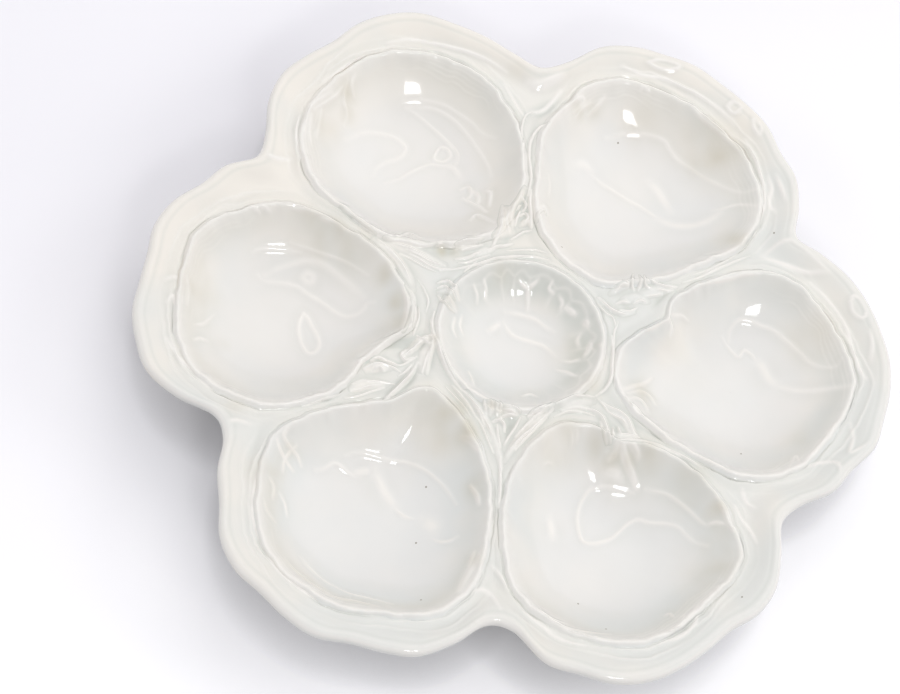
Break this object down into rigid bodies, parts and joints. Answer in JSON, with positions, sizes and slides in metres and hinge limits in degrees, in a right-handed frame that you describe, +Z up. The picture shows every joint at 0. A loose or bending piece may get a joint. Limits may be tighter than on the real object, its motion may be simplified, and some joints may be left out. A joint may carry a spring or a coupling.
{
  "type": "oyster plate",
  "caption": "Lobed white porcelain oyster plate with shell-shaped wells round a fluted sauce well, on a foot ring.",
  "frame": {"origin": "centre of the plate's outline on the table, at the underside of the foot ring", "axes": "+Z up, +X through the middle of the lobe of oyster shell 1, shells numbered anticlockwise from above"},
  "size_m": [0.2452, 0.2308, 0.03],
  "materials": {
    "tray_glaze": "clear gloss glaze over white porcelain, pooled pale green in hollows and thin and cream on edges",
    "shell_glaze": "clear gloss glaze over white porcelain, pooled pale green in the bowls, cream on the lips",
    "cup_glaze": "clear gloss glaze, a little greener where it pools between the flutes",
    "foot_glaze": "clear gloss glaze, wiped to bare white porcelain where the ring stands on the table",
    "sprig_glaze": "clear gloss glaze, thin and cream on the fronds"
  },
  "bodies": {
    "root": {"tray": "tray_glaze", "foot_ring": "foot_glaze", "sauce_cup": "cup_glaze", "oyster_shell_1": "shell_glaze", "oyster_shell_2": "shell_glaze", "oyster_shell_3": "shell_glaze", "oyster_shell_4": "shell_glaze", "oyster_shell_5": "shell_glaze", "oyster_shell_6": "shell_glaze", "sprig_1": "sprig_glaze", "sprig_2": "sprig_glaze", "sprig_3": "sprig_glaze", "sprig_4": "sprig_glaze", "sprig_5": "sprig_glaze", "sprig_6": "sprig_glaze"}
  },
  "joints": []
}
